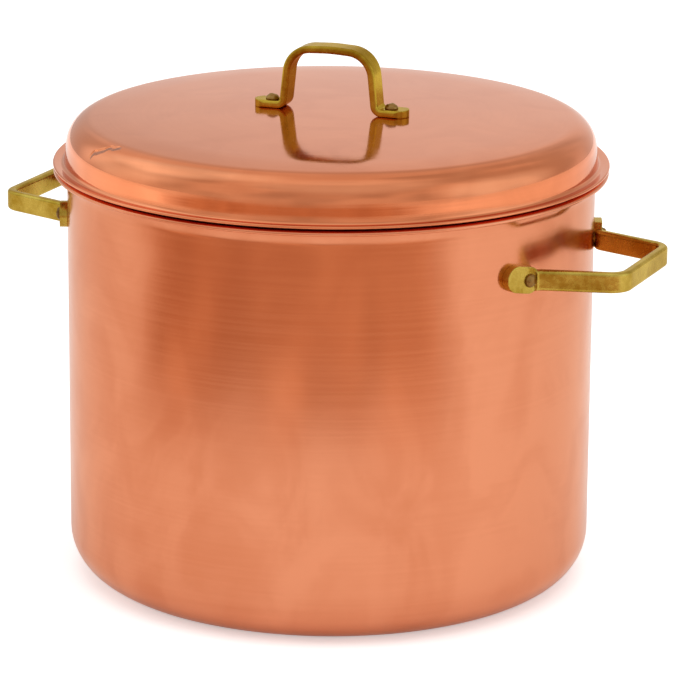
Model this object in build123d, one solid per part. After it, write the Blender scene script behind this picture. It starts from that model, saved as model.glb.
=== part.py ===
from build123d import *
import os
from math import asin, atan, atan2, cos, degrees, pi, radians, sin, sqrt, tan

# Copper stock pot with a lift-off lid and riveted brass handles.
# Millimetres. +Z is up, and the origin is the middle of the base, on the table.
# The two side handles lie along X: handle_right on +X, handle_left on -X.

# Pot body: one drawn copper sheet, from the middle of the base to the flared lip
pot_radius = 120.0
pot_sheet = 1.8
base_corner_radius = 20.8
rim_height = 190.8
rim_flare_radius = 11.1
rim_flare_angle = 31.5
rim_bend_radius = 1.6
rim_droop = 18.0
lip_reach = 6.1

# Lid: one spun copper sheet, from the brim to the crown
lid_sheet = 1.3
lid_seat_gap = 0.3
brim_overhang = 0.3
brim_rise = 13.0
brim_cove_radius = 1.6
lid_wall_offset = 1.15
lid_wall_lean = 4.5
lid_wall_height = 10.15
lid_shoulder_radius = 12.5
lid_shoulder_end = 84.8
lid_soft_radius = 309.0
lid_soft_end = 88.2

# Collar soldered inside the lid's wall and stepped in to hang in the mouth, which keeps the lid centred
collar_clearance = 0.5
collar_sheet = 1.2
collar_depth = 9.0
collar_rise = 9.0
collar_step_top = 4.5
collar_step_bottom = 1.5
solder_gap = 0.05

# Side handles: a brass strap on edge, bent round in plan, with a flat foot at each end
side_strap_height = 9.2
side_strap_thickness = 4.4
side_strap_edge = 1.5
side_bar_drop = 1.0
side_handle_reach = 34.2
side_bar_width = 60.8
side_leg_toe_in = 16.4
side_corner_radius = 10.5
side_foot_bend = 2.4
side_foot_thickness = 3.6
side_foot_height = 11.8
side_foot_reach = 13.4
side_front_foot_rise = 12.0
side_rear_foot_rise = 0.0
side_rivet_step = 3.6
side_seat_gap = 0.05
right_foot_height = 159.8
left_foot_height = 165.0

# Lid handle: a brass strap bent into an arch with two feet
arch_strap_width = 11.0
arch_strap_thickness = 3.4
arch_strap_edge = 1.1
arch_height = 30.6
arch_base_width = 47.5
arch_top_width = 42.0
arch_bow = 1.0
arch_corner_radius = 13.5
arch_foot_bend = 1.6
arch_foot_reach = 36.8
arch_rivet_offset = 28.6
arch_turn = 4.2

# Rivets: a shank through strap and sheet, a domed head outside and a flatter one inside
shank_radius = 1.9
shank_clearance = 0.03
outer_head_radius = 3.1
outer_head_height = 2.6
inner_head_radius = 4.0
inner_head_height = 1.5

cut_margin = 5.0

# Sizes that follow from the ones above
lip_radius = pot_radius + lip_reach
brim_radius = lip_radius + brim_overhang
lid_wall_radius = pot_radius + lid_wall_offset


def sheet_section(centre_line, thickness):
    """The section of a sheet whose middle follows a line in the XZ plane, kept to one side of the axis."""
    outline = Wire(centre_line).offset_2d(thickness / 2, side=Side.BOTH)
    reach = lip_radius + brim_radius
    keep = Plane.XZ * Pos(reach / 2, 0) * Rectangle(reach, 2 * reach)
    return Face(outline) & keep


def turned(section):
    """A section swung all the way round the pot's axis."""
    return revolve(section, Axis.Z, 360)


def xz(x, z):
    return Vector(x, 0, z)


def arc_xz(centre_x, centre_z, radius, start, end):
    """An arc in the XZ plane between two angles in degrees, counted up from the X axis."""
    points = []
    for angle in (start, (start + end) / 2, end):
        turn = radians(angle)
        points.append(xz(centre_x + radius * cos(turn), centre_z + radius * sin(turn)))
    return ThreePointArc(*points)


# Pot body

def rim_arcs():
    """The two arcs that turn the wall out into the lip, each as centre x, centre z and middle radius."""
    half = pot_sheet / 2
    flare = rim_flare_radius + half
    bend = rim_bend_radius + half
    turn = radians(rim_flare_angle)
    flare_x = pot_radius - half + flare
    bend_x = flare_x - (flare - bend) * cos(turn)
    bend_z = rim_height - half - bend
    flare_z = bend_z - (flare - bend) * sin(turn)
    return (flare_x, flare_z, flare), (bend_x, bend_z, bend)


def pot_line():
    """The middle of the pot's sheet: base, corner, wall, flare, bend and drooping lip."""
    half = pot_sheet / 2
    droop = radians(rim_droop)
    wall_x = pot_radius - half
    flare, bend = rim_arcs()
    bend_x, bend_z, bend_radius = bend
    lip_start_x = bend_x + bend_radius * sin(droop)
    lip_start_z = bend_z + bend_radius * cos(droop)
    lip_end_x = lip_radius - half
    lip_end_z = lip_start_z - (lip_end_x - lip_start_x) * tan(droop)
    corners = [xz(0, half), xz(wall_x, half), xz(wall_x, flare[1])]
    low = FilletPolyline(*corners, radius=base_corner_radius - half)
    edges = list(low.edges())
    edges.append(arc_xz(*flare, 180, 180 - rim_flare_angle))
    edges.append(arc_xz(*bend, 180 - rim_flare_angle, 90 - rim_droop))
    edges.append(Line(xz(lip_start_x, lip_start_z), xz(lip_end_x, lip_end_z)))
    return edges


def pot_body():
    body = turned(sheet_section(pot_line(), pot_sheet))
    hole = Rot(0, 90, 0) * Cylinder(shank_radius + shank_clearance, 4 * pot_sheet)
    for side, height in ((0, right_foot_height), (180, left_foot_height)):
        for angle in (-side_rivet_angle, side_rivet_angle):
            body -= Rot(0, 0, side + angle) * Pos(pot_radius, 0, height) * hole
    return body


# Lid shell

# The brim's underside clears the lip by the seat gap, at the ring where the lip is highest
seat_z = rim_height + lid_seat_gap
rim_top_radius = rim_arcs()[1][0]


def lid_line():
    """The middle of the lid's sheet: brim, cove, leaning wall, shoulder, soft shoulder and crown."""
    half = lid_sheet / 2
    lean = radians(lid_wall_lean)
    rise = radians(brim_rise)
    foot_x = lid_wall_radius - half / cos(lean)
    foot_z = seat_z + half / cos(rise) - (rim_top_radius - foot_x) * tan(rise)
    brim_end_x = brim_radius - half
    brim_end_z = foot_z + (brim_end_x - foot_x) * tan(rise)
    wall_top_x = foot_x - lid_wall_height * tan(lean)
    wall_top_z = foot_z + lid_wall_height
    low = FilletPolyline(
        xz(brim_end_x, brim_end_z),
        xz(foot_x, foot_z),
        xz(wall_top_x, wall_top_z),
        radius=brim_cove_radius + half,
    )
    edges = list(low.edges())
    x, z, start = wall_top_x, wall_top_z, lid_wall_lean
    bends = [(lid_shoulder_radius, lid_shoulder_end), (lid_soft_radius, lid_soft_end)]
    for outer_radius, end in bends:
        radius = outer_radius - half
        centre_x = x - radius * cos(radians(start))
        centre_z = z - radius * sin(radians(start))
        edges.append(arc_xz(centre_x, centre_z, radius, start, end))
        x = centre_x + radius * cos(radians(end))
        z = centre_z + radius * sin(radians(end))
        start = end
    crown = x / cos(radians(start))
    edges.append(arc_xz(0, z - crown * sin(radians(start)), crown, start, 90))
    return edges, foot_z, z - crown * sin(radians(start)), crown


lid_edges, lid_foot_z, crown_centre_z, crown_middle_radius = lid_line()
crown_radius = crown_middle_radius + lid_sheet / 2
crown_z = crown_centre_z + crown_radius


def on_arch(shape, across):
    """Stands a shape on the crown, out along the lid handle's line and turned with it."""
    drop = crown_radius - sqrt(crown_radius**2 - across**2)
    return Rot(0, 0, arch_turn) * Pos(across, 0, crown_z - drop) * shape


def lid_shell():
    shell = turned(sheet_section(lid_edges, lid_sheet))
    for across in (-arch_rivet_offset, arch_rivet_offset):
        shell -= on_arch(Cylinder(shank_radius + shank_clearance, 8 * lid_sheet), across)
    return shell


# Collar

def lid_collar():
    """A stepped ring: its upper half lies on the lid's inner wall, its lower half hangs in the mouth."""
    half = collar_sheet / 2
    lean = radians(lid_wall_lean)
    wall_foot = lid_wall_radius - (lid_sheet + half) / cos(lean) - solder_gap
    mouth = pot_radius - pot_sheet - collar_clearance - half

    def on_wall(rise):
        return xz(wall_foot - rise * tan(lean), lid_foot_z + rise)

    line = Polyline(
        on_wall(collar_rise),
        on_wall(collar_step_top),
        xz(mouth, lid_foot_z + collar_step_bottom),
        xz(mouth, rim_height - collar_depth + half),
    )
    return turned(sheet_section(line.edges(), collar_sheet))


# Side handles

def strap_section(thickness, width, edge):
    return RectangleRounded(thickness, width, edge)


def side_bend():
    """Where the side strap turns off the wall, in plan: the leg's direction, the bend's centre and radius."""
    half = side_strap_thickness / 2
    toe_in = radians(side_leg_toe_in)
    along = Vector(cos(toe_in), -sin(toe_in))
    across = Vector(sin(toe_in), cos(toe_in))
    bar_x = pot_radius + side_handle_reach - half
    bar_y = side_bar_width / 2 - half
    radius = side_foot_bend + half
    seat = pot_radius + side_seat_gap + half
    level = across.dot(Vector(bar_x, bar_y)) + radius
    run = sqrt((seat + radius) ** 2 - level**2)
    return across, across * level + along * run, radius, Vector(bar_x, bar_y)


def side_line():
    """The middle of the side strap in plan, on +X: bend, leg, crossbar, leg and bend."""
    half = side_strap_thickness / 2
    across, centre, radius, corner = side_bend()
    seat = pot_radius + side_seat_gap + half
    on_wall = centre * (seat / (seat + radius))
    on_leg = centre - across * radius
    middle = centre - (centre.normalized() + across).normalized() * radius

    def flipped(point):
        return Vector(point.X, -point.Y)

    turn = ThreePointArc(on_wall, middle, on_leg)
    bow = FilletPolyline(on_leg, corner, flipped(corner), flipped(on_leg), radius=side_corner_radius - half)
    low_turn = ThreePointArc(flipped(on_leg), flipped(middle), flipped(on_wall))
    return Wire([turn] + list(bow.edges()) + [low_turn])


bend_centre = side_bend()[1]
side_rivet_angle = degrees(atan2(bend_centre.Y, bend_centre.X) + side_rivet_step / pot_radius)


def side_foot(way, rise):
    """One foot of a side handle: a round-ended plate bent to the wall, its tip raised about the rivet."""
    seat = pot_radius + side_seat_gap
    face = seat + side_foot_thickness
    tall = side_foot_height + side_foot_reach
    plate = Cylinder(face, tall) - Cylinder(seat, tall)
    length = side_foot_reach + side_foot_height / 2
    middle = way * (side_foot_reach - side_foot_height / 2) / 2
    outline = Plane.YZ * Rot(0, 0, way * rise) * Pos(middle, 0) * SlotOverall(length, side_foot_height)
    return plate & Rot(0, 0, way * side_rivet_angle) * extrude(outline, face + cut_margin)


def end_rounder(thickness, width):
    """What is cut off a strap's flat end to leave it round, for an end at the origin facing +X."""
    radius = width / 2
    block = Pos(-radius / 2, 0, 0) * Box(radius, width + cut_margin, thickness)
    return block - Pos(-radius, 0, 0) * Cylinder(radius, thickness)


def side_handle():
    """The right handle, with the middle of its feet at z = 0."""
    path = side_line()
    section = Plane(path @ 0, x_dir=Vector(0, 0, 1), z_dir=path % 0)
    strap = sweep(section * strap_section(side_strap_height, side_strap_thickness, side_strap_edge), path)
    handle = Pos(0, 0, -side_bar_drop) * strap
    hole = Rot(0, 90, 0) * Cylinder(shank_radius + shank_clearance, 4 * side_foot_thickness)
    for way, rise in ((-1, side_front_foot_rise), (1, side_rear_foot_rise)):
        handle += side_foot(way, rise)
        handle -= Rot(0, 0, way * side_rivet_angle) * Pos(pot_radius, 0, 0) * hole
    return handle


# Lid handle

def arch_line():
    """The middle of the arch's strap, in the XZ plane, with the feet's underside at z = 0."""
    half = arch_strap_thickness / 2
    base_x = arch_base_width / 2 - half
    top_x = arch_top_width / 2 - half
    top_z = arch_height - half
    foot_x = arch_foot_reach
    run = sqrt(top_x**2 + arch_bow**2)
    bow_radius = 0.2 * run / tan(atan(arch_bow / top_x))
    corners = [
        xz(-foot_x, half),
        xz(-base_x, half),
        xz(-top_x, top_z - arch_bow),
        xz(0, top_z),
        xz(top_x, top_z - arch_bow),
        xz(base_x, half),
        xz(foot_x, half),
    ]
    foot_bend = arch_foot_bend + half
    corner = arch_corner_radius - half
    return FilletPolyline(*corners, radius=[foot_bend, corner, bow_radius, corner, foot_bend])


def lid_handle():
    path = arch_line()
    section = Plane(path @ 0, x_dir=Vector(0, 1, 0), z_dir=path % 0)
    strap = sweep(section * strap_section(arch_strap_width, arch_strap_thickness, arch_strap_edge), path)
    rounder = end_rounder(4 * arch_strap_thickness, arch_strap_width)
    drop = crown_radius - sqrt(crown_radius**2 - arch_foot_reach**2)
    for way in (0, 180):
        strap -= Rot(0, 0, way) * Pos(arch_foot_reach, 0, 0) * rounder
        hole = Cylinder(shank_radius + shank_clearance, 4 * arch_strap_thickness)
        strap -= Rot(0, 0, way) * Pos(arch_rivet_offset, 0, 0) * hole
    crown_ball = Pos(0, 0, crown_centre_z) * Sphere(crown_radius + solder_gap)
    return Rot(0, 0, arch_turn) * Pos(0, 0, crown_z - drop) * strap - crown_ball


# Rivets

def dome(radius, height):
    """A rivet head: a cap of a ball with a thin straight edge, on the XY plane, rising along +Z."""
    edge = height * 0.25
    rise = height - edge
    ball = (radius**2 + rise**2) / (2 * rise)
    half_way = asin(radius / ball) / 2 if rise < radius else (pi - asin(radius / ball)) / 2
    crown = xz(ball * sin(half_way), height - ball + ball * cos(half_way))
    outline = [
        Line(xz(0, 0), xz(radius, 0)),
        Line(xz(radius, 0), xz(radius, edge)),
        ThreePointArc(xz(radius, edge), crown, xz(0, height)),
        Line(xz(0, height), xz(0, 0)),
    ]
    return turned(Face(Wire(outline)))


def rivet(grip):
    """A set rivet along Z: the outer head stands on z = 0, and the inner head is below the grip."""
    shank = Pos(0, 0, -grip / 2) * Cylinder(shank_radius, grip)
    outer = dome(outer_head_radius, outer_head_height)
    inner = Pos(0, 0, -grip) * Rot(180, 0, 0) * dome(inner_head_radius, inner_head_height)
    return outer + shank + inner


def side_rivet(angle, height):
    outside = pot_radius + side_seat_gap + side_foot_thickness
    inside = sqrt((pot_radius - pot_sheet) ** 2 - inner_head_radius**2)
    return Rot(0, 0, angle) * Pos(outside, 0, height) * Rot(0, 90, 0) * rivet(outside - inside)


def arch_rivet(across):
    drop_foot = crown_radius - sqrt(crown_radius**2 - arch_foot_reach**2)
    foot_top = crown_z - drop_foot + arch_strap_thickness
    far = abs(across) + inner_head_radius
    under_radius = crown_radius - lid_sheet
    under = crown_centre_z + sqrt(under_radius**2 - far**2)
    return Rot(0, 0, arch_turn) * Pos(across, 0, foot_top) * rivet(foot_top - under)


def build():
    handle = side_handle()
    return {
        "pot_body": pot_body(),
        "handle_right": Pos(0, 0, right_foot_height) * handle,
        "handle_left": Pos(0, 0, left_foot_height) * mirror(handle, Plane.YZ),
        "right_rivet_front": side_rivet(-side_rivet_angle, right_foot_height),
        "right_rivet_rear": side_rivet(side_rivet_angle, right_foot_height),
        "left_rivet_front": side_rivet(180 + side_rivet_angle, left_foot_height),
        "left_rivet_rear": side_rivet(180 - side_rivet_angle, left_foot_height),
        "lid_shell": lid_shell(),
        "lid_collar": lid_collar(),
        "lid_handle": lid_handle(),
        "lid_rivet_right": arch_rivet(arch_rivet_offset),
        "lid_rivet_left": arch_rivet(-arch_rivet_offset),
    }


os.makedirs("parts", exist_ok=True)
for node, shape in build().items():
    export_step(shape, f"parts/{node}.step")
    box = shape.bounding_box()
    print(f"{node}: {shape.volume:.1f} mm3, z {box.min.Z:.2f} to {box.max.Z:.2f}, x {box.min.X:.2f} to {box.max.X:.2f}")
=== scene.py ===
# %% [markdown]
# A copper stock pot with its lid on, on a white floor. The rigid model, here called the frame, comes
# first and is never moved. New pieces could be parented to it by hand, but here each one rides on
# one of its bodies: the lid can then be lifted off, and everything riveted to it goes with it.

# %% Load the frame
from math import atan2, cos, pi, radians, sin, tan

import bmesh
import bpy
from mathutils import Euler, Matrix, Vector


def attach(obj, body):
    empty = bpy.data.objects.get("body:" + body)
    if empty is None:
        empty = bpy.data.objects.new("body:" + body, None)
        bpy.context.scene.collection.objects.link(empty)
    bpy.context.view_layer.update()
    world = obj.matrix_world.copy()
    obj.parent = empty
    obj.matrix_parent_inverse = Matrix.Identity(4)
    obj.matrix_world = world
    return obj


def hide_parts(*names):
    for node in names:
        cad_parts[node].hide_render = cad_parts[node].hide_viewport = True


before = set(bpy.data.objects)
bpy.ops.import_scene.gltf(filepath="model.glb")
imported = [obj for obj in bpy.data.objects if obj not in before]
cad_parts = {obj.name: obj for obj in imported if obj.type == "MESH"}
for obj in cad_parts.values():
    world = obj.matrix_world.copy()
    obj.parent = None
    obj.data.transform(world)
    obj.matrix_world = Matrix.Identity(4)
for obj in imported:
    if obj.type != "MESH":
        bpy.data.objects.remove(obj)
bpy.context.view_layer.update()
print("nodes", sorted(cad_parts))

# %% [markdown]
# The camera stands where the picture was taken from: a long lens, above the rim, looking down. It
# could be placed by eye, but then each outline ends up slightly off. Here the lens, distance and
# tilt were worked out from the rim's ellipse and from how much the walls narrow downwards. The
# picture isn't centred on the lens axis, and the two shift values take that up.

# %% Camera
PICTURE = 680
FOCAL_PIXELS = 3915.9
AXIS_U, AXIS_V = 330.15, 334.05
SENSOR = 36.0
CAMERA_DISTANCE = 1.8031
CAMERA_TILT = radians(15.84)
CAMERA_ROLL = 0.007
CAMERA_AZIMUTH = radians(24.0)
AIM_HEIGHT = 0.110
FARTHEST_SEEN = 20.0


def make_camera():
    data = bpy.data.cameras.new("camera")
    data.sensor_width = SENSOR
    data.lens = FOCAL_PIXELS / PICTURE * SENSOR
    data.shift_x = (PICTURE / 2 - AXIS_U) / PICTURE
    data.shift_y = (AXIS_V - PICTURE / 2) / PICTURE
    data.clip_end = FARTHEST_SEEN
    camera = bpy.data.objects.new("camera", data)
    bpy.context.scene.collection.objects.link(camera)
    level = Vector((sin(CAMERA_AZIMUTH), -cos(CAMERA_AZIMUTH), 0))
    back = level * cos(CAMERA_TILT) + Vector((0, 0, sin(CAMERA_TILT)))
    place = Vector((0, 0, AIM_HEIGHT)) + back * CAMERA_DISTANCE
    aim = Euler((pi / 2 - CAMERA_TILT, 0, CAMERA_AZIMUTH)).to_matrix().to_4x4()
    camera.matrix_world = Matrix.Translation(place) @ aim @ Matrix.Rotation(CAMERA_ROLL, 4, "Z")
    bpy.context.scene.camera = camera
    return camera


camera = make_camera()
print("lens", round(camera.data.lens, 1), "mm")

# %% [markdown]
# Every finish and every spun or riveted piece below is a node tree: nodes, and wires between them.
# Trees could be drawn by hand in the node editor, but a script says what each value means. A small
# helper makes a node, sets its options and fills or wires its sockets. The others stand for the few
# nodes that come back again and again, so that each tree reads from top to bottom.

# %% Helpers for node trees
def add(tree, kind, inputs=None, **options):
    """One node. An input is a value, or the output socket that feeds it."""
    node = tree.nodes.new(kind)
    for name, value in options.items():
        setattr(node, name, value)
    for key, value in (inputs or {}).items():
        socket = node.inputs[key]
        if isinstance(value, bpy.types.NodeSocket):
            tree.links.new(value, socket)
        else:
            socket.default_value = value
    return node


def maths(tree, operation, *values):
    """The result of one sum on numbers or sockets."""
    return add(tree, "ShaderNodeMath", dict(enumerate(values)), operation=operation).outputs[0]


def fade(tree, value, low, high, start=0.0, end=1.0):
    """Takes a value from start to end as it goes from low to high, smoothly and no further."""
    sockets = {"Value": value, "From Min": low, "From Max": high, "To Min": start, "To Max": end}
    node = add(tree, "ShaderNodeMapRange", sockets, interpolation_type="SMOOTHSTEP")
    return node.outputs["Result"]


def blended(tree, factor, first, second):
    """A colour between two others."""
    node = add(tree, "ShaderNodeMix", {0: factor}, data_type="RGBA")
    for socket, colour in ((node.inputs[6], first), (node.inputs[7], second)):
        socket.default_value = (*colour, 1)
    return node.outputs[2]


# %% [markdown]
# Soft patches, smears, drawn lines and dents all start as one noise, read at a place. The place can
# be stretched, turned or taken apart first, and that is what makes a band out of a blob.

# %% Helpers for patterns
NOISE_MIDDLE = 0.5
NOISE_RANGE = (0.3, 0.7)


def noise(tree, place, scale, detail, distortion=0.0):
    """Soft random values about a half. More detail adds finer noise on top of the coarse."""
    sockets = {"Vector": place, "Scale": scale, "Detail": detail, "Distortion": distortion}
    return add(tree, "ShaderNodeTexNoise", sockets).outputs[0]


def mapped(tree, place, **moves):
    """A place shifted, turned or stretched before a pattern reads it."""
    return add(tree, "ShaderNodeMapping", {"Vector": place, **moves}).outputs[0]


def axes_of(tree, place):
    """The x, y and z of a place."""
    return add(tree, "ShaderNodeSeparateXYZ", {0: place}).outputs[:]


def place_of(tree, x=0.0, y=0.0, z=0.0):
    """A place from its x, y and z."""
    return add(tree, "ShaderNodeCombineXYZ", {0: x, 1: y, 2: z}).outputs[0]


def length_of(tree, place):
    """How far a place is from the middle."""
    return add(tree, "ShaderNodeVectorMath", {0: place}, operation="LENGTH").outputs["Value"]


def along(tree, place, way):
    """How far a place lies along a way."""
    sockets = {0: place, 1: way}
    return add(tree, "ShaderNodeVectorMath", sockets, operation="DOT_PRODUCT").outputs["Value"]


def ray_kinds(tree):
    """Two switches: 1 for rays that the camera sends out, and 1 for rays that shiny metal returns."""
    path = add(tree, "ShaderNodeLightPath")
    return path.outputs["Is Camera Ray"], path.outputs["Is Glossy Ray"]


# %% [markdown]
# Polished metal shows its surroundings, so the studio is half of the finish: without it copper looks
# like painted plastic. A photograph of a room could be wrapped round the scene, but a drawn world can
# be changed one value at a time. It is white to the camera. To the metal it is a pale grey room with
# soft patches and four cool windows: one low on the left, one higher on the left, one low on the
# right and one high in front. Each window is a direction, how much it adds, and how wide it spreads.

# %% World
WHITE = (1, 1, 1)
WORLD_LIGHT = 0.75
ROOM_DARKEST, ROOM_BRIGHTEST = 0.66, 0.90
PATCH_STRETCH, PATCH_SHIFT, PATCH_SCALE = (1.6, 1.6, 0.7), (3.1, 1.7, 0), 1.3
PATCH_FADE = (0.36, 0.60)
WINDOW_COLOUR = (0.84, 1.02, 1.16)
WINDOW_COOLING = 2.0
WINDOW_CORE = 1 / 4
WINDOWS = (
    ((-0.90, -0.12, 0.40), 0.40, 38),
    ((-0.58, -0.02, 0.82), 0.55, 30),
    ((0.95, 0.20, 0.22), 0.50, 38),
    ((0.24, -0.36, 0.90), 0.34, 40),
)


def window_light(tree, way):
    """The light of all windows together, seen in one direction."""
    light = 0.0
    for heart, glow, spread in WINDOWS:
        near = along(tree, way, Vector(heart).normalized())
        edge, core = cos(radians(spread)), cos(radians(spread * WINDOW_CORE))
        light = maths(tree, "ADD", light, fade(tree, near, edge, core, 0.0, glow))
    return light


def make_world():
    world = bpy.data.worlds.new("studio")
    bpy.context.scene.world = world
    world.use_nodes = True
    tree = world.node_tree
    background = tree.nodes["Background"]
    seen, shiny = ray_kinds(tree)
    way = add(tree, "ShaderNodeTexCoord").outputs["Generated"]
    stretched = mapped(tree, way, Scale=PATCH_STRETCH, Location=PATCH_SHIFT)
    patches = noise(tree, stretched, PATCH_SCALE, 1.5)
    room = fade(tree, patches, *PATCH_FADE, ROOM_DARKEST, ROOM_BRIGHTEST)
    windows = window_light(tree, way)
    room = maths(tree, "ADD", room, windows)
    cool = maths(tree, "MULTIPLY", maths(tree, "MULTIPLY", windows, WINDOW_COOLING), shiny)
    tree.links.new(blended(tree, cool, WHITE, WINDOW_COLOUR), background.inputs["Color"])
    inside = add(tree, "ShaderNodeMix", {0: shiny, 2: WORLD_LIGHT, 3: room}).outputs[0]
    strength = add(tree, "ShaderNodeMix", {0: seen, 2: inside, 3: 1.0}).outputs[0]
    tree.links.new(strength, background.inputs["Strength"])
    return world


world = make_world()
print(world.name, len(world.node_tree.nodes), "nodes,", len(WINDOWS), "windows")

# %% [markdown]
# The floor is a plain pale sheet that takes the pot's shadow. A shadow catcher would do that too, but
# the metal has to see the floor. A little glow, only for the camera and the metal, lifts it to white.
# The metal also sees where the sheet ends in front of the pot and a warm table starts: that is the
# darker, redder field on the upper wall. The field is a fan that starts at a wavy edge in front of
# the pot, and gets narrower further out.

# %% Floor
FLOOR_SIZE = 6.0
FLOOR_WHITE = (0.90, 0.90, 0.90)
FLOOR_ROUGHNESS = 0.7
FLOOR_GLOW, SHINY_GLOW, FAR_GLOW = 0.42, 0.12, 0.30
FAR_AWAY = (0.85, 1.3)
TABLE_DARK, TABLE_PALE = (0.60, 0.38, 0.25), (0.98, 0.72, 0.52)
TABLE_TURN = radians(8.0)
TABLE_EDGE, TABLE_EDGE_FADE, TABLE_EDGE_RIPPLE = 0.43, 0.20, 0.16
TABLE_SIDES = (0.33, 0.60)
TABLE_WIDEST, TABLE_NARROWS = 0.6, 0.12
RIPPLE_SCALE, MOTTLE_SCALE = 5.0, 4.0
MOTTLE_FADE = (0.38, 0.62)
MOTTLE_DIMS = (0.5, 0.75, 1.0, 0.6)


def new_material(name):
    """A material with its tree and its shader, ready to be wired."""
    material = bpy.data.materials.new(name)
    material.use_nodes = True
    tree = material.node_tree
    return material, tree, tree.nodes["Principled BSDF"]


def table_field(tree, place, reach):
    """1 where the table shows: past the wavy edge of the sheet, and in front of the pot."""
    x, y = axes_of(tree, place)[:2]
    ahead = maths(tree, "MULTIPLY", x, sin(TABLE_TURN))
    ahead = maths(tree, "MULTIPLY_ADD", y, -cos(TABLE_TURN), ahead)
    ripple = noise(tree, place, RIPPLE_SCALE, 1.0)
    rippled = maths(tree, "MULTIPLY_ADD", ripple, TABLE_EDGE_RIPPLE, reach)
    past_edge = fade(tree, rippled, TABLE_EDGE, TABLE_EDGE + TABLE_EDGE_FADE)
    further = maths(tree, "SUBTRACT", reach, TABLE_WIDEST)
    narrower = maths(tree, "MULTIPLY", further, TABLE_NARROWS)
    facing = maths(tree, "SUBTRACT", maths(tree, "DIVIDE", ahead, reach), narrower)
    return maths(tree, "MULTIPLY", past_edge, fade(tree, facing, *TABLE_SIDES))


def table_light(tree, place, reach):
    """The table's warm light, mottled, and darker further out."""
    mottled = fade(tree, noise(tree, place, MOTTLE_SCALE, 2.0), *MOTTLE_FADE)
    mottled = maths(tree, "MULTIPLY", mottled, fade(tree, reach, *MOTTLE_DIMS))
    colour = blended(tree, mottled, TABLE_DARK, TABLE_PALE)
    return add(tree, "ShaderNodeEmission", {"Color": colour, "Strength": 1.0}).outputs[0]


def make_floor_material():
    material, tree, shader = new_material("white_floor")
    shader.inputs["Base Color"].default_value = (*FLOOR_WHITE, 1)
    shader.inputs["Roughness"].default_value = FLOOR_ROUGHNESS
    seen, shiny = ray_kinds(tree)
    place = add(tree, "ShaderNodeTexCoord").outputs["Object"]
    reach = length_of(tree, place)
    table = maths(tree, "MULTIPLY", table_field(tree, place, reach), shiny)
    far = fade(tree, reach, *FAR_AWAY, SHINY_GLOW, SHINY_GLOW + FAR_GLOW)
    strength = maths(tree, "MULTIPLY_ADD", shiny, far, maths(tree, "MULTIPLY", seen, FLOOR_GLOW))
    glow = add(tree, "ShaderNodeEmission", {"Color": (*WHITE, 1), "Strength": strength})
    sheet = add(tree, "ShaderNodeAddShader", {0: shader.outputs[0], 1: glow.outputs[0]})
    shaders = {0: table, 1: sheet.outputs[0], 2: table_light(tree, place, reach)}
    whole = add(tree, "ShaderNodeMixShader", shaders)
    tree.links.new(whole.outputs[0], tree.nodes["Material Output"].inputs["Surface"])
    return material


def make_floor():
    bpy.ops.mesh.primitive_plane_add(size=FLOOR_SIZE)
    floor = bpy.context.object
    floor.name = "floor"
    floor.data.materials.append(make_floor_material())
    return floor


floor = make_floor()
print("floor", floor.dimensions[:2])

# %% [markdown]
# Three wide lamps, above and to both sides, cast the soft shadow. They only light the floor. The
# metal could show them too, as a studio's soft boxes, but they would burn bars into the lid's
# shoulder, so they are hidden from shiny rays and the metal sees the windows instead. A lamp's power
# is worked out from how bright its face should look, so that its size can change by itself.

# %% Lamps
LAMP_AIM = Vector((0, 0, 0.12))
LAMPS = (
    ("top_lamp", (0.3, -0.2, 1.7), (1.8, 1.8), 1.15),
    ("left_lamp", (-1.5, -1.1, 0.9), (1.0, 1.3), 1.4),
    ("right_lamp", (1.7, -0.6, 0.8), (0.9, 1.3), 0.92),
)


def make_lamp(name, place, size, glow):
    data = bpy.data.lights.new(name, "AREA")
    data.shape = "RECTANGLE"
    data.size, data.size_y = size
    data.energy = glow * pi * size[0] * size[1]
    lamp = bpy.data.objects.new(name, data)
    lamp.visible_glossy = False
    bpy.context.scene.collection.objects.link(lamp)
    lamp.location = place
    lamp.rotation_euler = (LAMP_AIM - lamp.location).to_track_quat("-Z", "Y").to_euler()
    return lamp


for lamp_name, lamp_place, lamp_size, lamp_glow in LAMPS:
    lamp = make_lamp(lamp_name, lamp_place, lamp_size, lamp_glow)
    print(lamp.name, round(lamp.data.energy, 1), "W")
bpy.context.scene.view_settings.view_transform = "Standard"

# %% [markdown]
# The pot and the lid are sheet metal turned about one axis, so each is a section spun round. The
# section could be a flat line thickened by a modifier, but a lip needs a round edge, so it is worked
# out as plain points: a line down the middle of the sheet, and its two sides with a half circle
# between them. Lengths are in metres, and x is the distance from the axis.

# %% Helpers for a sheet's section
MM = 0.001
TINY = 1e-6
CAP_STEPS = 6


def round_points(centre, radius, start, sweep, steps):
    """Points on a circle from a starting angle, through a sweep, both in radians."""
    turns = [start + sweep * step / steps for step in range(steps + 1)]
    return [centre + Vector((cos(turn), sin(turn))) * radius for turn in turns]


def arc(centre, radius, start, end, steps):
    """Points on an arc, between two angles in degrees counted up from the x axis."""
    return round_points(centre, radius, radians(start), radians(end - start), steps)


def rounded(corner, before, after, radius, steps):
    """The arc that rounds a corner between two neighbouring points."""
    to_before = (before - corner).normalized()
    to_after = (after - corner).normalized()
    half_angle = to_before.angle(to_after) / 2
    centre = corner + (to_before + to_after).normalized() * (radius / sin(half_angle))
    first = corner + to_before * (radius / tan(half_angle)) - centre
    last = corner + to_after * (radius / tan(half_angle)) - centre
    start = atan2(first.y, first.x)
    sweep = (atan2(last.y, last.x) - start + pi) % (2 * pi) - pi
    return round_points(centre, radius, start, sweep, steps)


def without_repeats(points):
    kept = [points[0]]
    for point in points[1:]:
        if (point - kept[-1]).length > TINY:
            kept.append(point)
    return kept


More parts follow.
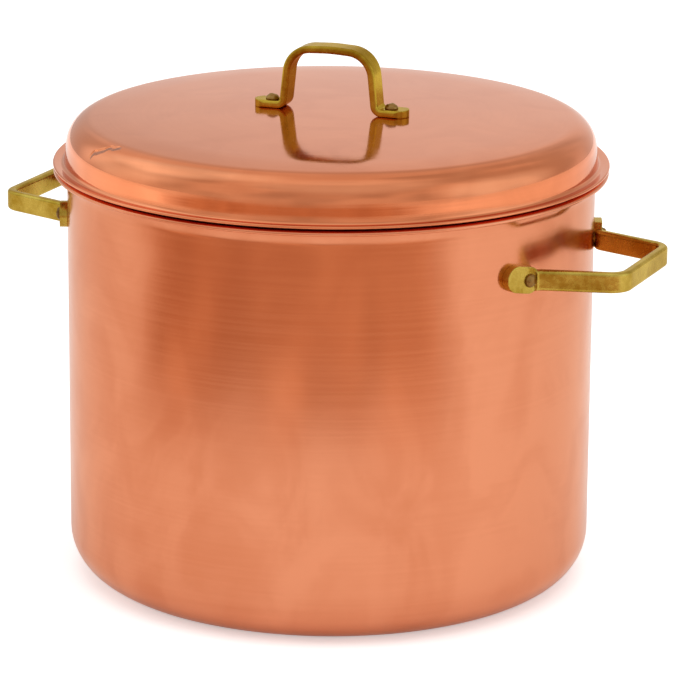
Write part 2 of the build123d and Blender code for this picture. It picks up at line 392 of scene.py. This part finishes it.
def sheet_section(line, thickness):
    """The section's outline, out along the line's right side and back along its left.

    Also says which of its points is at the lip, where the two sides meet.
    """
    line = without_repeats(line)
    half = thickness / 2
    right, left = [], []
    for index, point in enumerate(line):
        ahead = line[min(index + 1, len(line) - 1)] - point
        behind = point - line[max(index - 1, 0)]
        way = ahead.normalized() + behind.normalized()
        side = Vector((way.y, -way.x)).normalized() * half
        right.append(point + side)
        left.append(point - side)
    right[0].x = left[0].x = 0.0
    last_way = (line[-1] - line[-2]).normalized()
    cap = round_points(line[-1], half, atan2(-last_way.x, last_way.y), pi, CAP_STEPS)[1:-1]
    return right + cap + left[::-1], len(right) + CAP_STEPS // 2


# %% [markdown]
# Spinning a section is the same rule for both sheets. A Screw modifier would do it once, but one
# Geometry Nodes tree does it for any section, and adds what the metal needs. The section comes in as
# a line of edges, follows a tiny circle, and the two poles are welded shut. A gentle wave moves the
# skin by less than a tenth of a millimetre: hand-finished copper is never quite true, and the wave
# makes the reflections wander as they do on the real pot.

# %% The tree that turns a sheet
HUB = 0.001
SEGMENTS = 288


def named_inputs(tree, sockets):
    for name, kind, value in sockets:
        socket = tree.interface.new_socket(name, in_out="INPUT", socket_type=kind)
        if value is not None:
            socket.default_value = value
    tree.interface.new_socket("Geometry", in_out="OUTPUT", socket_type="NodeSocketGeometry")


def spun(tree, flat, segments):
    """A flat section carried round a tiny circle, with its poles welded."""
    moved = {"Geometry": flat, "Translation": (-HUB, 0, 0), "Scale": (1, -1, 1)}
    section = add(tree, "GeometryNodeTransform", moved).outputs[0]
    round_hub = {"Resolution": segments, "Radius": HUB}
    circle = add(tree, "GeometryNodeCurvePrimitiveCircle", round_hub).outputs[0]
    swept = {"Curve": circle, "Profile Curve": section}
    skin = add(tree, "GeometryNodeCurveToMesh", swept).outputs[0]
    return add(tree, "GeometryNodeMergeByDistance", {"Geometry": skin, "Distance": TINY}).outputs[0]


def waved(tree, skin, height, scale):
    """A skin moved in and out along its own normals by a slow noise."""
    place = add(tree, "GeometryNodeInputPosition").outputs[0]
    wave = maths(tree, "SUBTRACT", noise(tree, place, scale, 1.0), NOISE_MIDDLE)
    lift = maths(tree, "MULTIPLY", wave, height)
    normal = add(tree, "GeometryNodeInputNormal").outputs[0]
    push = add(tree, "ShaderNodeVectorMath", {0: normal, "Scale": lift}, operation="SCALE")
    moved = {"Geometry": skin, "Offset": push.outputs[0]}
    return add(tree, "GeometryNodeSetPosition", moved).outputs[0]


def turned_sheet_tree():
    tree = bpy.data.node_groups.new("turned_sheet", "GeometryNodeTree")
    named_inputs(tree, (
        ("Geometry", "NodeSocketGeometry", None),
        ("Segments", "NodeSocketInt", SEGMENTS),
        ("Wave Height", "NodeSocketFloat", 0.0001),
        ("Wave Scale", "NodeSocketFloat", 25.0),
        ("Outside", "NodeSocketMaterial", None),
        ("Inside", "NodeSocketMaterial", None),
    ))
    given = add(tree, "NodeGroupInput").outputs
    flat = add(tree, "GeometryNodeMeshToCurve", {"Mesh": given["Geometry"]}).outputs[0]
    skin = spun(tree, flat, given["Segments"])
    skin = waved(tree, skin, given["Wave Height"], given["Wave Scale"])
    smooth = add(tree, "GeometryNodeSetShadeSmooth", {"Geometry": skin}).outputs[0]
    whole = add(tree, "GeometryNodeRealizeInstances", {"Geometry": smooth}).outputs[0]
    lining = add(tree, "GeometryNodeInputNamedAttribute", {"Name": "lining"}, data_type="FLOAT")
    lined = maths(tree, "GREATER_THAN", lining.outputs[0], 0.5)
    outer = {"Geometry": whole, "Material": given["Outside"]}
    outer = add(tree, "GeometryNodeSetMaterial", outer).outputs[0]
    inner = {"Geometry": outer, "Selection": lined, "Material": given["Inside"]}
    done = add(tree, "GeometryNodeSetMaterial", inner).outputs[0]
    add(tree, "NodeGroupOutput", {"Geometry": done})
    return tree


SHEET_TREE = turned_sheet_tree()
print(SHEET_TREE.name, len(SHEET_TREE.nodes), "nodes")

# %% [markdown]
# A tree could stay on its piece as a live modifier. Here its result is kept as a plain mesh, because
# a finished piece is then the same everywhere, and faces and volume can be counted at once.

# %% Running a tree
def baked(name, source, tree, values):
    """Runs a tree on a mesh, and keeps the result as a plain mesh at the origin."""
    maker = bpy.data.objects.new(name + "_maker", source)
    bpy.context.scene.collection.objects.link(maker)
    modifier = maker.modifiers.new("tree", "NODES")
    modifier.node_group = tree
    for socket in tree.interface.items_tree:
        if socket.item_type == "SOCKET" and socket.in_out == "INPUT" and socket.name in values:
            modifier[socket.identifier] = values[socket.name]
    maker.update_tag()
    ready = maker.evaluated_get(bpy.context.evaluated_depsgraph_get())
    mesh = bpy.data.meshes.new_from_object(ready)
    maker.modifiers.clear()
    bpy.data.objects.remove(maker)
    mesh.name = name
    piece = bpy.data.objects.new(name, mesh)
    bpy.context.scene.collection.objects.link(piece)
    return piece


def outwards(piece):
    """Turns every face outwards if the closed shell came out inside out, and says how big it is."""
    shell = bmesh.new()
    shell.from_mesh(piece.data)
    volume = shell.calc_volume(signed=True)
    if volume < 0:
        bmesh.ops.reverse_faces(shell, faces=shell.faces)
        shell.to_mesh(piece.data)
    gaps = sum(not edge.is_manifold for edge in shell.edges)
    size = round(abs(volume) / MM ** 3)
    print(piece.name, len(shell.faces), "faces,", size, "mm3,", gaps, "open edges")
    shell.free()


def turned_sheet(name, line, thickness, lining, outside, inside, wave, wave_scale):
    """A piece of sheet turned from its middle line.

    The lining is the half before or after the lip, out to a reach from the axis.
    """
    after_lip, reach = lining
    outline, lip = sheet_section(line, thickness)
    flat = bpy.data.meshes.new(name + "_section")
    edges = [(index, index + 1) for index in range(len(outline) - 1)]
    flat.from_pydata([(point.x, point.y, 0) for point in outline], edges, [])
    lined = flat.attributes.new("lining", "FLOAT", "POINT")
    for index, point in enumerate(outline):
        lined.data[index].value = float((index > lip) == after_lip and point.x < reach)
    values = {"Segments": SEGMENTS, "Wave Height": wave, "Wave Scale": wave_scale}
    values |= {"Outside": outside, "Inside": inside}
    piece = baked(name, flat, SHEET_TREE, values)
    outwards(piece)
    return piece


# %% [markdown]
# The copper finishes come first, because the trees take them as inputs. On the real pot the wall is
# satin: a cloth was run round it, which leaves fine level lines, wiped smears, and soft upright
# bands where the metal is a little redder or paler. Lower down the wall is painted paler still: a
# painted reflection of the pale floor close below. The lid is buffed nearly to a mirror. Painted
# maps could show all this, but patterns made of noise need no seams, and one recipe with other
# numbers serves both. They use Object coordinates, so they stay on the metal as the lid is lifted.

# %% Copper
FINE_LINES, WIDE_LINES = (14.0, 800.0), (5.0, 150.0)
SMEAR_LEAN, SMEAR_SCALE = (0.5, 0.6, 0), (30, 30, 19)
PALENESS_START = -0.05
PALE_SHARES = (
    ("bands", (0.36, 0.64), 0.42),
    ("wide lines", NOISE_RANGE, 0.06),
    ("fine lines", NOISE_RANGE, 0.14),
    ("smears", (0.34, 0.66), 0.38),
)
# The wall is painted paler from the first height down to the second: a painted reflection of the pale
# floor.
FLOOR_SHEEN_HEIGHTS, FLOOR_SHEEN = (0.16, 0.05), 0.30
LINE_ROUGHNESS = (0.92, 1.08)
SMEAR_ROUGHNESS = (0.04, -0.02)
WIDE_LINE_DEPTH = 0.05
MARK_DEPTH = 0.0003


def drawn_lines(tree, place, slow, quick):
    """Noise drawn out into lines round the pot: slow along them, quick across them."""
    x, y, z = axes_of(tree, place)
    reach = length_of(tree, place_of(tree, x, y))
    across = maths(tree, "MULTIPLY", maths(tree, "SUBTRACT", z, reach), quick)
    round_x, round_y = (maths(tree, "MULTIPLY", axis, slow) for axis in (x, y))
    return noise(tree, place_of(tree, round_x, round_y, across), 1.0, 3.0)


def copper_patterns(tree, place, band_scale):
    leaning = mapped(tree, place, Rotation=SMEAR_LEAN, Scale=SMEAR_SCALE)
    return {
        "bands": noise(tree, mapped(tree, place, Scale=band_scale), 1.0, 2.0),
        "wide lines": drawn_lines(tree, place, *WIDE_LINES),
        "fine lines": drawn_lines(tree, place, *FINE_LINES),
        "smears": noise(tree, leaning, 1.0, 5.0, 1.0),
    }


def bumped(tree, shader, height, strength, distance, **before):
    """Shades the surface as if it rose and fell by a height."""
    sockets = {"Height": height, "Strength": strength, "Distance": distance, **before}
    tree.links.new(add(tree, "ShaderNodeBump", sockets).outputs[0], shader.inputs["Normal"])


def bare_metal(name, grazing=WHITE):
    """A new metal with its colour where it is seen edge on, and the place its patterns read."""
    material, tree, shader = new_material(name)
    shader.inputs["Metallic"].default_value = 1.0
    shader.inputs["Specular Tint"].default_value = (*grazing, 1)
    return material, tree, shader, add(tree, "ShaderNodeTexCoord").outputs["Object"]


def copper(name, deep, pale, grazing, roughness, line_strength, band_scale):
    material, tree, shader, place = bare_metal(name, grazing)
    patterns = copper_patterns(tree, place, band_scale)
    paler = PALENESS_START
    for pattern, limits, share in PALE_SHARES:
        marks = fade(tree, patterns[pattern], *limits)
        paler = maths(tree, "MULTIPLY_ADD", marks, share, paler)
    # Painted reflection: the lower wall gets paler, as if lit by the pale floor close below.
    floor_sheen = fade(tree, axes_of(tree, place)[2], *FLOOR_SHEEN_HEIGHTS, 0.0, FLOOR_SHEEN)
    paler = maths(tree, "ADD", paler, floor_sheen)
    tree.links.new(blended(tree, paler, deep, pale), shader.inputs["Base Color"])
    smooth, rough = (roughness * share for share in LINE_ROUGHNESS)
    lined = fade(tree, patterns["fine lines"], *NOISE_RANGE, smooth, rough)
    smeared = fade(tree, patterns["smears"], *NOISE_RANGE, *SMEAR_ROUGHNESS)
    tree.links.new(maths(tree, "ADD", lined, smeared), shader.inputs["Roughness"])
    wide = maths(tree, "MULTIPLY", patterns["wide lines"], WIDE_LINE_DEPTH)
    depth = maths(tree, "ADD", patterns["fine lines"], wide)
    bumped(tree, shader, depth, line_strength, MARK_DEPTH)
    print(name, len(tree.nodes), "nodes, roughness", roughness)
    return material


WALL_COPPER = copper(
    name="satin_copper", deep=(0.62, 0.186, 0.081), pale=(0.75, 0.272, 0.138),
    grazing=(1.0, 0.92, 0.84), roughness=0.18, line_strength=0.015, band_scale=(11, 11, 2.5),
)
LID_COPPER = copper(
    name="buffed_copper", deep=(0.68, 0.200, 0.082), pale=(0.78, 0.250, 0.108),
    grazing=(1.0, 0.92, 0.86), roughness=0.09, line_strength=0.03, band_scale=(9, 9, 9),
)

# %% [markdown]
# The lid has had a knock on its left shoulder: a short kinked crease, bright where it is pushed in.
# It could be pressed into the mesh, but a crease 2 mm wide would need very fine faces there. A bump
# in the finish bends the reflections just as well, and the sheet's own shape stays smooth. The crease
# has a middle, a way along it and a way across it, and a noise along it makes the kinks.

# %% The knock on the lid
KNOCK = Vector((-0.0673, -0.0944, 0.2099))
KNOCK_ALONG = Vector((0.922, -0.221, 0.316))
KNOCK_ACROSS = Vector((0.004, 0.824, 0.565))
KNOCK_LONG, KNOCK_WIDE, KNOCK_DEEP = 10.5 * MM, 1.9 * MM, 1.1 * MM
KNOCK_FADES_FROM = 0.6
KINK_SCALE, KINK_REACH = 130.0, 11 * MM


def knocked(material):
    """Adds the crease on top of the bump that a finish already has."""
    tree = material.node_tree
    shader = tree.nodes["Principled BSDF"]
    place = add(tree, "ShaderNodeTexCoord").outputs["Object"]
    away = add(tree, "ShaderNodeVectorMath", {0: place, 1: KNOCK}, operation="SUBTRACT").outputs[0]
    walk = along(tree, away, KNOCK_ALONG)
    rise = along(tree, away, KNOCK_ACROSS)
    kinks = noise(tree, place_of(tree, walk), KINK_SCALE, 1.0)
    kinks = maths(tree, "SUBTRACT", kinks, NOISE_MIDDLE)
    rise = maths(tree, "MULTIPLY_ADD", kinks, KINK_REACH, rise)
    fades_from = KNOCK_LONG * KNOCK_FADES_FROM
    within = fade(tree, maths(tree, "ABSOLUTE", walk), KNOCK_LONG, fades_from)
    near = fade(tree, maths(tree, "ABSOLUTE", rise), KNOCK_WIDE, 0.0)
    depth = maths(tree, "MULTIPLY", maths(tree, "MULTIPLY", within, near), -KNOCK_DEEP)
    before = shader.inputs["Normal"].links[0].from_socket
    bumped(tree, shader, depth, 1.0, 1.0, Normal=before)


knocked(LID_COPPER)
print("knock", [round(value, 4) for value in KNOCK], "long", 2 * KNOCK_LONG, "m")

# %% [markdown]
# Inside, copper pots are wiped with molten tin by hand, which leaves a grey skin with soft swirls.
# It could be a second sheet inside the first, but it is thinner than paper, so it is a finish on the
# inner faces. The swirls are one distorted noise that moves colour, roughness and bump together, as
# a wipe does. The collar under the lid has the same skin.

# %% Tin lining
TIN_DARK, TIN_PALE = (0.50, 0.49, 0.47), (0.72, 0.71, 0.69)
TIN_ROUGHNESS = (0.45, 0.3)
SWIRL_SCALE, SWIRL_STRENGTH, SWIRL_DEPTH = 16.0, 0.25, 0.001


def tin(name):
    material, tree, shader, place = bare_metal(name)
    wipes = noise(tree, place, SWIRL_SCALE, 3.0, 1.6)
    colour = blended(tree, fade(tree, wipes, *NOISE_RANGE), TIN_DARK, TIN_PALE)
    tree.links.new(colour, shader.inputs["Base Color"])
    rough = fade(tree, wipes, *NOISE_RANGE, *TIN_ROUGHNESS)
    tree.links.new(rough, shader.inputs["Roughness"])
    bumped(tree, shader, wipes, SWIRL_STRENGTH, SWIRL_DEPTH)
    print(name, len(tree.nodes), "nodes")
    return material


TIN = tin("wiped_tin")

# %% [markdown]
# The handles are brass strap, bent, filed, and left to go olive. Their colour wanders between gold
# and a browner olive, with small pits. The rivets are the same metal, much darker and redder. One
# recipe makes all three, so that they stay one family.
# A bevel in the shading, rather than in the mesh, breaks each hard edge that the file left.

# %% Brass
EDGE_SOFTNESS = 0.6 * MM
EDGE_SAMPLES = 6
WANDER_SCALE, WANDER_FADE, WANDER_SHARE = 55.0, (0.34, 0.66), 0.75
GRAIN_SCALE, GRAIN_FADE, GRAIN_SHARE = 420.0, (0.35, 0.65), 0.25
SMOOTHER, ROUGHER = 0.06, 0.1
WANDER_DEPTH = 2.0


def brass(name, deep, pale, grazing, roughness, pits):
    material, tree, shader, place = bare_metal(name, grazing)
    wander = noise(tree, place, WANDER_SCALE, 3.0)
    grain = noise(tree, place, GRAIN_SCALE, 3.0)
    paler = maths(tree, "MULTIPLY", fade(tree, wander, *WANDER_FADE), WANDER_SHARE)
    paler = maths(tree, "MULTIPLY_ADD", fade(tree, grain, *GRAIN_FADE), GRAIN_SHARE, paler)
    tree.links.new(blended(tree, paler, deep, pale), shader.inputs["Base Color"])
    rough = fade(tree, grain, *NOISE_RANGE, roughness - SMOOTHER, roughness + ROUGHER)
    tree.links.new(rough, shader.inputs["Roughness"])
    soft = add(tree, "ShaderNodeBevel", {"Radius": EDGE_SOFTNESS}, samples=EDGE_SAMPLES)
    dents = maths(tree, "ADD", grain, maths(tree, "MULTIPLY", wander, WANDER_DEPTH))
    bumped(tree, shader, dents, pits, MARK_DEPTH, Normal=soft.outputs[0])
    print(name, len(tree.nodes), "nodes, roughness", roughness)
    return material


BRASS = brass(
    name="olive_brass", deep=(0.33, 0.185, 0.016), pale=(0.56, 0.380, 0.072),
    grazing=(1.0, 0.92, 0.66), roughness=0.22, pits=0.10,
)
# The lid's handle is the same brass, only darker and browner.
ARCH_BRASS = brass(
    name="darker_brass", deep=(0.26, 0.125, 0.006), pale=(0.49, 0.305, 0.032),
    grazing=(1.0, 0.88, 0.55), roughness=0.20, pits=0.10,
)
RIVET_BRASS = brass(
    name="dark_rivet", deep=(0.11, 0.042, 0.012), pale=(0.33, 0.17, 0.045),
    grazing=(1.0, 0.92, 0.7), roughness=0.30, pits=0.25,
)

# %% [markdown]
# The pot is one sheet: base, rounded corner, straight wall, a flare, a tighter bend and a lip that
# droops. A cylinder could be pulled into shape, but its bends would never be true arcs. The sizes
# are the frame's own, so the new skin lies on the solid that it stands for.

# %% Pot
POT_RADIUS, POT_SHEET = 120 * MM, 1.8 * MM
RIM_HEIGHT, LIP_RADIUS = 190.8 * MM, 126.1 * MM
FLARE, BEND = 12.0 * MM, 2.5 * MM
FLARE_TURN, LIP_DROOP = 31.5, 18.0
BASE_CORNER = 19.9 * MM
BASE_RINGS = (0, 0.2, 0.4, 0.6, 0.75)
CORNER_STEPS, WALL_STEPS, FLARE_STEPS, BEND_STEPS = 14, 24, 8, 10
POT_LINING = (True, 118.5 * MM)
POT_WAVE, POT_WAVE_SCALE = 0.16 * MM, 22.0


def pot_line():
    half = POT_SHEET / 2
    wall_x = POT_RADIUS - half
    turn, droop = radians(FLARE_TURN), radians(LIP_DROOP)
    flare_x = wall_x + FLARE
    bend_x = flare_x - (FLARE - BEND) * cos(turn)
    bend_z = RIM_HEIGHT - half - BEND
    flare_z = bend_z - (FLARE - BEND) * sin(turn)
    base = [Vector((POT_RADIUS * share, half)) for share in BASE_RINGS]
    low = half + BASE_CORNER
    corner = arc(Vector((wall_x - BASE_CORNER, low)), BASE_CORNER, -90, 0, CORNER_STEPS)
    wall_step = (flare_z - low) / WALL_STEPS
    wall = [Vector((wall_x, low + wall_step * step)) for step in range(1, WALL_STEPS)]
    flare = arc(Vector((flare_x, flare_z)), FLARE, 180, 180 - FLARE_TURN, FLARE_STEPS)
    bend_from, bend_to = 180 - FLARE_TURN, 90 - LIP_DROOP
    bend = arc(Vector((bend_x, bend_z)), BEND, bend_from, bend_to, BEND_STEPS)
    lip_x = LIP_RADIUS - half
    lip = Vector((lip_x, bend[-1].y - (lip_x - bend[-1].x) * tan(droop)))
    return base + corner + wall + flare + bend + [lip]


pot_skin = turned_sheet(
    "pot_skin", pot_line(), POT_SHEET, POT_LINING, WALL_COPPER, TIN, POT_WAVE, POT_WAVE_SCALE
)
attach(pot_skin, "pot")
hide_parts("pot_body")

# %% [markdown]
# The lid is spun from one sheet: a nearly flat crown, a soft shoulder, a short wall that leans in,
# and a brim turned out to lie on the rim. Its line is drawn from the brim inwards, because the brim
# has to lie where the rim is, and is turned round at the end: a sheet's line starts on the axis.

# %% Lid
LID_SHEET = 1.3 * MM
BRIM_RADIUS = 126.4 * MM
BRIM_RISE, WALL_LEAN = 13.0, 4.5
WALL_FOOT = Vector((120.498, 191.189)) * MM
LID_WALL_HEIGHT = 10.15 * MM
LID_WALL_RINGS = (0.33, 0.66, 1)
BRIM_COVE = 2.25 * MM
SHOULDERS = ((11.85 * MM, 84.8), (308.35 * MM, 88.2))
COVE_STEPS, SHOULDER_STEPS = 8, 14
LID_LINING = (False, 120.2 * MM)
LID_WAVE, LID_WAVE_SCALE = 0.14 * MM, 26.0


def lid_line():
    lean, rise = radians(WALL_LEAN), radians(BRIM_RISE)
    brim_x = BRIM_RADIUS - LID_SHEET / 2
    brim = WALL_FOOT + Vector((1, tan(rise))) * (brim_x - WALL_FOOT.x)
    top = WALL_FOOT + Vector((-tan(lean), 1)) * LID_WALL_HEIGHT
    line = [brim] + rounded(WALL_FOOT, brim, top, BRIM_COVE, COVE_STEPS)
    line += [line[-1].lerp(top, share) for share in LID_WALL_RINGS]
    start = WALL_LEAN
    for radius, end in SHOULDERS:
        centre = line[-1] - Vector((cos(radians(start)), sin(radians(start)))) * radius
        line += arc(centre, radius, start, end, SHOULDER_STEPS)
        start = end
    crown = line[-1].x / cos(radians(start))
    centre = Vector((0, line[-1].y - crown * sin(radians(start))))
    line += arc(centre, crown, start, 90, SHOULDER_STEPS)
    line[-1].x = 0.0
    return line[::-1]


lid_skin = turned_sheet(
    "lid_skin", lid_line(), LID_SHEET, LID_LINING, LID_COPPER, TIN, LID_WAVE, LID_WAVE_SCALE
)
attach(lid_skin, "lid")
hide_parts("lid_shell")

# %% [markdown]
# Six rivets hold the handles. Each is a domed head outside, a shank through strap and sheet, and a
# flatter head inside. Six copies placed by hand would all look alike. Here one tree makes a rivet
# and stands it on every point it is given, along that point's own axis and with a turn of its own,
# so that no two show the same hammer marks. Its seed is fixed, so the turns are always the same.

# %% The rivet tree
BALL = {"Segments": 28, "Rings": 18, "Radius": 1.0}
SHANK_SIDES = 24
HAMMER_SCALE = 1.7
HAMMERED, UNTOUCHED = 0.86, 1.0
ALMOST_A_TURN = 6.28


def dome(tree, radius, height):
    """Half a ball, squashed to a height and closed underneath."""
    ball = add(tree, "GeometryNodeMeshUVSphere", BALL).outputs["Mesh"]
    place = add(tree, "GeometryNodeInputPosition").outputs[0]
    x, y, z = axes_of(tree, place)
    marks = fade(tree, noise(tree, place, HAMMER_SCALE, 1.0), *NOISE_RANGE, HAMMERED, UNTOUCHED)
    dented = maths(tree, "MULTIPLY", marks, height)
    rise = maths(tree, "MULTIPLY", maths(tree, "MAXIMUM", z, 0.0), dented)
    wide_x, wide_y = (maths(tree, "MULTIPLY", axis, radius) for axis in (x, y))
    shape = {"Geometry": ball, "Position": place_of(tree, wide_x, wide_y, rise)}
    return add(tree, "GeometryNodeSetPosition", shape).outputs[0]


def one_rivet(tree, given):
    """Head, shank and inner head, standing on the origin and pointing up."""
    below = maths(tree, "MULTIPLY", given["Grip"], -1.0)
    head = dome(tree, given["Head Radius"], given["Head Height"])
    inner = dome(tree, given["Inner Radius"], given["Inner Height"])
    inner_place = place_of(tree, z=below)
    turned_over = {"Geometry": inner, "Translation": inner_place, "Rotation": (pi, 0, 0)}
    inner = add(tree, "GeometryNodeTransform", turned_over).outputs[0]
    sizes = {"Vertices": SHANK_SIDES, "Radius": given["Shank Radius"], "Depth": given["Grip"]}
    shank = add(tree, "GeometryNodeMeshCylinder", sizes).outputs["Mesh"]
    middle = place_of(tree, z=maths(tree, "MULTIPLY", below, 0.5))
    shank = add(tree, "GeometryNodeTransform", {"Geometry": shank, "Translation": middle}).outputs[0]
    rivet = add(tree, "GeometryNodeJoinGeometry")
    for part in (head, shank, inner):
        tree.links.new(part, rivet.inputs[0])
    return rivet.outputs[0]


def standing(tree, seed):
    """How a rivet is turned: upright along its point's axis, then spun by chance about it."""
    axis = add(tree, "GeometryNodeInputNamedAttribute", {"Name": "axis"}, data_type="FLOAT_VECTOR")
    upright = {"Vector": axis.outputs[0]}
    upright = add(tree, "FunctionNodeAlignRotationToVector", upright, axis="Z").outputs[0]
    chance = {"Seed": seed, 3: ALMOST_A_TURN}
    turn = add(tree, "FunctionNodeRandomValue", chance, data_type="FLOAT").outputs[1]
    spin = add(tree, "FunctionNodeEulerToRotation", {0: place_of(tree, z=turn)}).outputs[0]
    both = {0: upright, 1: spin}
    return add(tree, "FunctionNodeRotateRotation", both, rotation_space="LOCAL").outputs[0]


def rivet_tree():
    tree = bpy.data.node_groups.new("rivets", "GeometryNodeTree")
    named_inputs(tree, (
        ("Geometry", "NodeSocketGeometry", None),
        ("Head Radius", "NodeSocketFloat", 0.0031),
        ("Head Height", "NodeSocketFloat", 0.0026),
        ("Inner Radius", "NodeSocketFloat", 0.004),
        ("Inner Height", "NodeSocketFloat", 0.0015),
        ("Shank Radius", "NodeSocketFloat", 0.0019),
        ("Grip", "NodeSocketFloat", 0.0055),
        ("Finish", "NodeSocketMaterial", None),
        ("Seed", "NodeSocketInt", 3),
    ))
    given = add(tree, "NodeGroupInput").outputs
    rivet, rotation = one_rivet(tree, given), standing(tree, given["Seed"])
    placed = {"Points": given["Geometry"], "Instance": rivet, "Rotation": rotation}
    rivets = add(tree, "GeometryNodeInstanceOnPoints", placed).outputs[0]
    whole = add(tree, "GeometryNodeRealizeInstances", {"Geometry": rivets}).outputs[0]
    smooth = add(tree, "GeometryNodeSetShadeSmooth", {"Geometry": whole}).outputs[0]
    finish = {"Geometry": smooth, "Material": given["Finish"]}
    done = add(tree, "GeometryNodeSetMaterial", finish).outputs[0]
    add(tree, "NodeGroupOutput", {"Geometry": done})
    return tree


RIVET_TREE = rivet_tree()
print(RIVET_TREE.name, len(RIVET_TREE.nodes), "nodes")

# %% [markdown]
# The side handles have a front and a rear foot each, with one rivet through it. Every rivet points
# straight out from the pot's axis, so its place needs only a height and an angle. All four are one
# mesh, because they belong to one body and nothing moves between them.

# %% Rivets of the side handles
FOOT_FACE = 123.65 * MM
SIDE_RIVET_ANGLE = 21.3233
SIDE_GRIP = 5.518 * MM
FOOT_HEIGHTS = ((0, 159.8 * MM), (180, 165.0 * MM))


def rivets(name, places, grip, body, nodes):
    """Rivets of one body, from pairs of a point on the strap's face and the way the head looks."""
    points = bpy.data.meshes.new(name + "_points")
    points.from_pydata([place for place, axis in places], [], [])
    ways = points.attributes.new("axis", "FLOAT_VECTOR", "POINT")
    for index, (place, axis) in enumerate(places):
        ways.data[index].vector = axis
    piece = baked(name, points, RIVET_TREE, {"Grip": grip, "Finish": RIVET_BRASS, "Seed": 3})
    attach(piece, body)
    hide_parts(*nodes)
    print(name, len(piece.data.polygons), "faces", [round(size, 4) for size in piece.dimensions])


def side_rivet_places():
    places = []
    for side, height in FOOT_HEIGHTS:
        for angle in (-SIDE_RIVET_ANGLE, SIDE_RIVET_ANGLE):
            turn = radians(side + angle)
            way = Vector((cos(turn), sin(turn), 0))
            places.append((way * FOOT_FACE + Vector((0, 0, height)), way))
    return places


SIDE_NODES = ("right_rivet_front", "right_rivet_rear", "left_rivet_front", "left_rivet_rear")
rivets("side_rivets", side_rivet_places(), SIDE_GRIP, "pot", SIDE_NODES)

# %% [markdown]
# The lid's handle stands on two feet, left and right of the middle, on a line turned a little from
# the pot's own. Its rivets stand straight up. They are a mesh of their own, because they rise with
# the lid while the others stay.

# %% Rivets of the lid handle
ARCH_RIVET_OFFSET = 28.6 * MM
ARCH_TURN = radians(4.2)
ARCH_FOOT_TOP = 218.568 * MM
ARCH_GRIP = 4.65 * MM


def lid_rivet_places():
    places = []
    for across in (-ARCH_RIVET_OFFSET, ARCH_RIVET_OFFSET):
        place = Vector((across * cos(ARCH_TURN), across * sin(ARCH_TURN), ARCH_FOOT_TOP))
        places.append((place, Vector((0, 0, 1))))
    return places


rivets("lid_rivets", lid_rivet_places(), ARCH_GRIP, "lid", ("lid_rivet_right", "lid_rivet_left"))

# %% [markdown]
# The two side handles, the lid's handle and the collar are bent strap and turned ring. They could be
# modelled again, but the frame already has them in the right shape, so they stay and only get their
# metal.

# %% Finishes on the frame's own pieces
FINISHES = {"handle_right": BRASS, "handle_left": BRASS, "lid_handle": ARCH_BRASS, "lid_collar": TIN}
for node, finish in FINISHES.items():
    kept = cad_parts[node]
    kept.data.materials.clear()
    kept.data.materials.append(finish)
    print(node, len(kept.data.polygons), "faces", finish.name)
